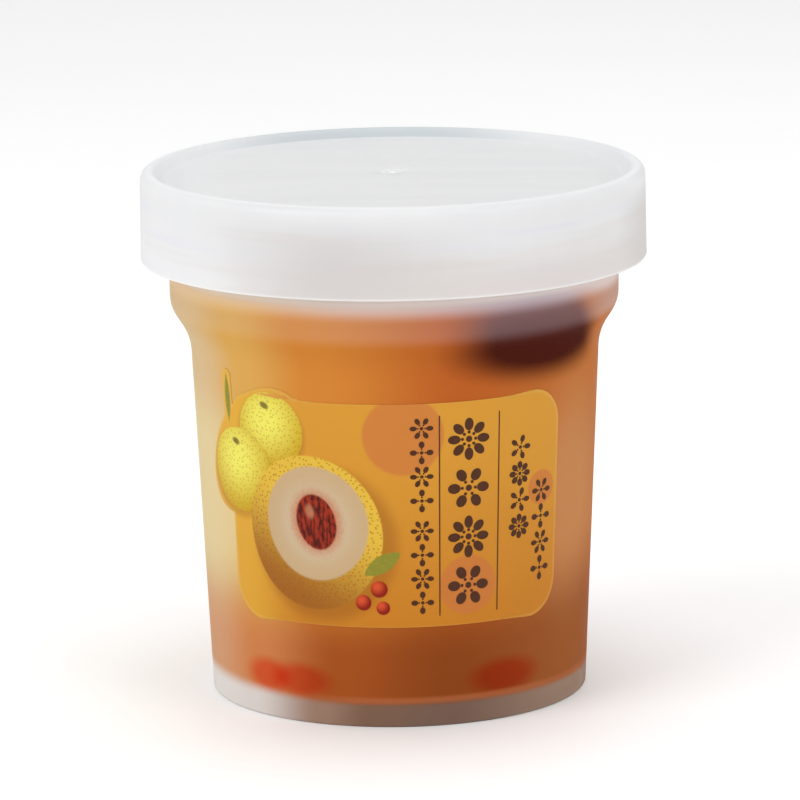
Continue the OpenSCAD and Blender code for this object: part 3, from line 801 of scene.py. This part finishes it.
def labelPrintAndLight():
    s, art, span = labelSizes, labelArt, labelSizes["span"]
    material, r = newMaterial("printed label")
    flat = r.add("ShaderNodeUVMap", {"uv_map": "flat"})
    u, v = r.parts(flat)[:2]
    x, z = u * span - span / 2, v * span        # millimetres round the wall from the front, and up it
    sheet = r.stretched(flat, (span, span, span))

    def oval(cx, cz, wide, high, lean=0.0):     # 1 on the outline, less inside
        dx, dz = x - cx, z - cz
        a = (dx * cosine(lean) + dz * sine(lean)) / wide
        b = (dz * cosine(lean) - dx * sine(lean)) / high
        return (a * a + b * b) ** 0.5

    def inside(distance, soft=0.03, full=1.0):
        return r.fade(distance, 1.0 + soft, 1.0 - soft, full)

    def lens(cx, cz, long, wide, lean):         # a leaf between two circles
        big = ((long / 2) ** 2 + (wide / 2) ** 2) / wide
        off = big - wide / 2
        one = oval(cx + off * cosine(lean), cz - off * sine(lean), big, big)
        two = oval(cx - off * cosine(lean), cz + off * sine(lean), big, big)
        return r.math("MAXIMUM", one, two)

    def printedOrLit(amount, name):                  # a further ink over what is there; painted light on the label is laid the same way
        return r.blend(amount, colour, inkedOrLit(name))

    # ground, with a painted highlight along the cut edge and painted light on the left
    drift = r.cloud(sheet, 0.06, 2.0)
    fine = r.cloud(sheet, 1.6, 3.0, 0.6)
    colour = r.blend(r.fade(z + 12 * drift, *art["groundUp"]), inkedOrLit("ground"), inkedOrLit("groundTop"))
    half, corner = (s["width"] / 2, s["height"] / 2), s["corner"]
    qx = abs(x - labelMiddle) - (half[0] - corner)
    qz = abs(z - (s["foot"] + half[1])) - (half[1] - corner)
    px, pz = r.math("MAXIMUM", qx, 0.0), r.math("MAXIMUM", qz, 0.0)
    box = (px * px + pz * pz) ** 0.5 + r.math("MINIMUM", r.math("MAXIMUM", qx, qz), 0.0) - corner
    lobe = (oval(*lobeMiddle, s["lobeL"] / 2, s["lobeW"] / 2, s["lobeLean"]) - 1) * (s["lobeW"] / 2)
    cut = r.math("MINIMUM", box, lobe)
    # painted light on the label's left, where the light falls
    colour = printedOrLit(r.fade(x, *art["leftLightWest"]), "leftLight")
    colour = printedOrLit(r.fade(cut, *art["edgeHighlight"]), "edgeHighlight")

    # soft round spots behind the marks
    for cx, cz, size in art["spots"]:
        colour = printedOrLit(inside(oval(cx, cz, size, size), 0.06, 0.75), "spot")

    # a leaf in the tab and two whole, specked fruits in the lobe
    cells = r.add("ShaderNodeTexVoronoi", {"voronoi_dimensions": "2D"},
                  {"Vector": sheet, "Scale": 1.15, "Randomness": 1.0})
    speck = r.fade(cells, *art["specks"])
    green = r.blend(fine, inkedOrLit("leaf"), inkedOrLit("leafPale"))
    up, long, wide = art["tabLeaf"]
    leaf = lens(*leaned(tabFoot, -s["tabLean"], 0, up), long, wide, s["tabLean"])
    colour = r.blend(inside(leaf, 0.02), colour, green)
    for along, size in art["wholes"]:
        cx, cz = leaned(lobeMiddle, s["lobeLean"], along, art["wholesDown"])
        glow = r.fade(oval(cx - 0.6, cz + 2.2, size * 1.25, size * 1.25), *art["wholeLight"])
        rind = r.blend(glow, inkedOrLit("rind"), inkedOrLit("rindPale"))
        rind = r.blend(speck * 0.45, rind, inkedOrLit("rindSpeck"))
        stalk = inside(oval(cx - 0.8, cz + size * 0.66, 1.0, 0.6, -20), 0.4, 0.8)
        rind = r.blend(stalk, rind, inkedOrLit("stalk"))
        colour = printedOrLit(inside(oval(cx, cz - 0.8, size * 1.06, size * 1.06), 0.1, 0.35), "shadow")
        colour = r.blend(inside(oval(cx, cz, size, size), 0.02), colour, rind)

    # a halved fruit in front of them, seen from the cut side
    light = r.fade(0.45 * x + z, *art["halfLight"])
    colour = printedOrLit(inside(oval(*art["halfShadow"]), 0.12, 0.45), "shadow")
    peel = r.blend(light, inkedOrLit("peel"), inkedOrLit("peelPale"))
    peel = r.blend(speck * 0.55, peel, inkedOrLit("peelSpeck"))
    colour = r.blend(inside(oval(*art["half"]), 0.015), colour, peel)
    flesh = oval(*art["flesh"])
    pulp = r.blend(r.fade(flesh, *art["pulpRim"]), inkedOrLit("pulp"), inkedOrLit("pulpRim"))
    pulp = r.blend(r.fade(fine, *art["pulpFibre"]), pulp, inkedOrLit("pulpFibre"))
    colour = r.blend(inside(flesh), colour, pulp)
    colour = printedOrLit(inside(oval(*art["blush"]) + 0.35 * fine, 0.22, 0.75), "blush")
    ridges = r.fade(r.cloud(r.stretched(sheet, (1.6, 0.5, 1)), 1.0, 3.0), *art["stoneRidges"])
    stone = r.blend(ridges, inkedOrLit("stone"), inkedOrLit("stoneRidge"))
    stone = r.blend(inside(oval(*art["gleam"]), 0.5, 0.6), stone, inkedOrLit("gleam"))
    colour = r.blend(inside(oval(*art["stone"]), 0.05), colour, stone)

    # a second leaf and small berries beside the halved fruit
    colour = r.blend(inside(lens(*art["leaf"]), 0.02), colour, green)
    for cx, cz, size in art["berries"]:
        glow = r.fade(oval(cx - 0.4, cz + 0.5, size, size), *art["berryLight"])
        berry = r.blend(glow, inkedOrLit("berry"), inkedOrLit("berryPale"))
        colour = r.blend(inside(oval(cx, cz, size, size), 0.06), colour, berry)

    r.surface(colour, 0.42 + 0.1 * fine, Specular_IOR_Level=0.12, Normal=r.bump(fine, 0.15, 0.02))
    return material


def makeLabel():
    s = labelSizes
    points, loops = [], []
    for outline in labelOutlines():
        loops.append(list(range(len(points), len(points) + len(outline))))
        points += outline
    step = s["step"]                            # inner points keep the sheet round
    left, right = min(p[0] for p in points), max(p[0] for p in points)
    for i in range(int((right - left) / step)):
        for j in range(s["rows"]):
            points.append((left + (i + 0.5) * step, s["foot"] + (j + 0.5) * step))
    cutOut = delaunay_2d_cdt([Vector(p) for p in points], [], loops, 1, 1e-5)
    verts, faces = cutOut[0], cutOut[2]
    bm = bmesh.new()
    flat = bm.loops.layers.uv.new("flat")
    used = sorted({i for face in faces for i in face})
    outer = {i: bm.verts.new(onWall(verts[i].x, verts[i].y, s["thick"])) for i in used}
    inner = {i: bm.verts.new(onWall(verts[i].x, verts[i].y, s["under"])) for i in used}
    place = {}
    for layer in (outer, inner):
        place.update({layer[i]: verts[i] for i in used})
    border = {}
    for face in faces:
        bm.faces.new([outer[i] for i in face])
        bm.faces.new([inner[i] for i in reversed(face)])
        for a, b in zip(face, face[1:] + face[:1]):
            if (b, a) in border:
                del border[(b, a)]
            else:
                border[(a, b)] = True
    for a, b in border:
        bm.faces.new((outer[b], outer[a], inner[a], inner[b]))
    bmesh.ops.recalc_face_normals(bm, faces=bm.faces)
    for face in bm.faces:
        for loop in face.loops:
            spot = place[loop.vert]
            loop[flat].uv = ((spot.x + s["span"] / 2) / s["span"], spot.y / s["span"])
    label = meshObject("label_sheet", bm, labelPrintAndLight())
    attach(label, "cup_body")
    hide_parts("label")


makeLabel()
print("label made")


# printed marks: rosettes in columns, laid round the wall by one geometry tree

markInputs = {"Place": "Float", "Foot height": "Float", "Pitch": "Float", "Group gap": "Float",
              "Reach": "Float", "Marks": "Int", "Petals": "Int", "Other petals": "Int"}
columns = (     # in the order above; the gap parts a column's lower half from its upper
    (4.5, 23.9, 4.55, 1.2, 2.15, 8, 6, 4),
    (13.3, 26.7, 9.25, 0.0, 4.0, 4, 8, 6),
    (24.0, 36.6, 5.0, 0.0, 2.35, 4, 5, 8),
    (29.4, 27.8, 4.95, 0.0, 2.35, 4, 6, 4),
)
inkLook = {"dark": (60, 30, 14), "worn": (76, 42, 20), "lift": 0.05, "ruleWidth": 0.22,
           "rules": ((7.75, 21.3, 59.2), (19.3, 21.3, 59.1))}
inkLift = labelSizes["thick"] + inkLook["lift"]
wallInputs = {"Wall radius": wallRadius(0) + inkLift, "Wall slope": wallSlope, "Flat radius": flatRadius}


def brownInk():
    material, r = newMaterial("brown ink")
    fine = r.cloud(r.spot(), 1.2, 3.0)
    colour = r.blend(fine, tint(*inkLook["dark"]), tint(*inkLook["worn"]))
    r.surface(colour, 0.4 + 0.15 * fine, Specular_IOR_Level=0.15)
    return material


def rosetteTree(ink):
    tree = bpy.data.node_groups.new("rosette column", "GeometryNodeTree")
    r = Recipe(tree)
    for name, kind in dict(dict.fromkeys(wallInputs, "Float"), **markInputs).items():
        tree.interface.new_socket(name, in_out="INPUT", socket_type="NodeSocket" + kind)
    tree.interface.new_socket("Geometry", in_out="OUTPUT", socket_type="NodeSocketGeometry")
    given = r.add("NodeGroupInput")
    reach = given.pick("Reach")
    index = r.add("GeometryNodeInputIndex")

    def disc(size, corners):
        return r.add("GeometryNodeMeshCircle", {"fill_type": "NGON"}, {"Vertices": corners, "Radius": size})

    def ring(petals, away, long, wide):         # petals that point outwards, in a ring
        points = r.add("GeometryNodeMeshCircle", {}, {"Vertices": petals, "Radius": away})
        turn = index * (2 * math.pi) / petals
        return r.add("GeometryNodeInstanceOnPoints", {}, {
            "Points": points, "Instance": disc(1.0, 14),
            "Rotation": r.vector(0.0, 0.0, turn),
            "Scale": r.vector(long, wide, 1.0)})

    def rosette(petals, fat):
        shape = r.add("GeometryNodeJoinGeometry", {}, {"Geometry": [
            ring(petals, reach * 0.7, reach * 0.3, reach * fat),
            ring(petals, reach * 0.32, reach * 0.075, reach * 0.075),
            disc(reach * 0.15, 14)]})
        shape = r.add("GeometryNodeRealizeInstances", {}, (shape,))
        return r.add("GeometryNodeGeometryToInstance", {}, (shape,))

    line = r.add("GeometryNodeMeshLine", {}, {
        "Count": given.pick("Marks"),
        "Start Location": r.vector(given.pick("Place"), given.pick("Foot height"), 0.0),
        "Offset": r.vector(0.0, given.pick("Pitch"), 0.0)})
    second = r.math("GREATER_THAN", index + 0.5, given.pick("Marks") * 0.5)
    line = r.add("GeometryNodeSetPosition", {}, {
        "Geometry": line,
        "Offset": r.vector(0.0, second * given.pick("Group gap"), 0.0)})
    kinds = r.add("GeometryNodeJoinGeometry", {}, {"Geometry": [
        rosette(given.pick("Petals"), 0.21), rosette(given.pick("Other petals"), 0.24)]})
    marks = r.add("GeometryNodeInstanceOnPoints", {}, {
        "Points": line, "Instance": kinds, "Pick Instance": True,
        "Instance Index": r.math("MODULO", index, 2)})
    marks = r.add("GeometryNodeRealizeInstances", {}, (marks,))
    along, height = r.parts(r.add("GeometryNodeInputPosition"))[:2]
    turn = along / given.pick("Flat radius")
    radius = given.pick("Wall radius") + height * given.pick("Wall slope")
    bent = r.vector(r.math("SINE", turn) * radius * mm, r.math("COSINE", turn) * radius * -mm, height * mm)
    marks = r.add("GeometryNodeSetPosition", {}, {"Geometry": marks, "Position": bent})
    marks = r.add("GeometryNodeRealizeInstances", {}, (marks,))
    marks = r.add("GeometryNodeSetMaterial", {}, {"Geometry": marks, "Material": ink})
    r.add("NodeGroupOutput", {}, {"Geometry": marks})
    return tree


def makePrint():
    ink = brownInk()
    tree = rosetteTree(ink)
    sockets = {item.name: item.identifier for item in tree.interface.items_tree if item.in_out == "INPUT"}
    bm = bmesh.new()
    for column in columns:
        seed = bpy.data.objects.new("column", bpy.data.meshes.new("column"))
        scene.collection.objects.link(seed)
        modifier = seed.modifiers.new("rosettes", "NODES")
        modifier.node_group = tree
        for name, value in list(zip(markInputs, column)) + list(wallInputs.items()):
            modifier[sockets[name]] = value
        bpy.context.view_layer.update()
        shape = bpy.data.meshes.new_from_object(seed.evaluated_get(bpy.context.evaluated_depsgraph_get()))
        seed.modifiers.clear()
        bm.from_mesh(shape)
        bpy.data.objects.remove(seed)
        bpy.data.meshes.remove(shape)
    half, steps = inkLook["ruleWidth"] / 2, 8
    for along, low, high in inkLook["rules"]:   # the two upright rules
        rail = [[bm.verts.new(onWall(along + side * half, low + (high - low) * i / steps, inkLift))
                 for side in (-1, 1)] for i in range(steps + 1)]
        for one, two in zip(rail, rail[1:]):
            bm.faces.new((one[0], one[1], two[1], two[0]))
    for face in bm.faces:                       # every mark faces away from the wall
        face.normal_update()
        middle = face.calc_center_median()
        if face.normal.dot(Vector((middle.x, middle.y, 0))) < 0:
            face.normal_flip()
    marks = meshObject("label_print", bm, ink, 60)
    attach(marks, "cup_body")


makePrint()
print("print made")


# floor and light

lightLook = {"sky": 0.74, "target": (0, 0, 0.05), "floor": (246, 246, 246), "floorPale": (250, 250, 250),
             "floorHalf": 4.0, "lamps": (       # name, place, size and power
                 ("key", (-1.1, -0.8, 0.75), 0.9, 10.0),
                 ("fill", (1.1, -0.9, 0.5), 0.8, 7.0),
                 ("top", (0.1, 0.2, 1.3), 0.9, 5.0))}


def makeFloor():
    material, r = newMaterial("pale floor")
    soft = r.cloud(r.spot(), 0.004, 2.0)
    colour = r.blend(soft, tint(*lightLook["floor"]), tint(*lightLook["floorPale"]))
    r.surface(colour, 0.6)
    bm = bmesh.new()
    bmesh.ops.create_grid(bm, x_segments=8, y_segments=8, size=lightLook["floorHalf"])
    floor = meshObject("floor", bm, material)


def placeLights():
    for name, place, size, power in lightLook["lamps"]:
        data = bpy.data.lights.new(name, "AREA")
        data.shape = "RECTANGLE"
        data.size = data.size_y = size
        data.energy = power
        lamp = bpy.data.objects.new(name, data)
        scene.collection.objects.link(lamp)
        aim = Vector(lightLook["target"]) - Vector(place)
        lamp.rotation_euler = aim.to_track_quat("-Z", "Y").to_euler()
        lamp.location = place
    world = bpy.data.worlds.new("studio")
    world.use_nodes = True
    sky = world.node_tree.nodes["Background"].inputs
    sky["Color"].default_value = (1.0, 1.0, 1.0, 1.0)
    sky["Strength"].default_value = lightLook["sky"]
    scene.world = world
    scene.view_settings.view_transform = "Standard"


makeFloor()
placeLights()
print("light placed")
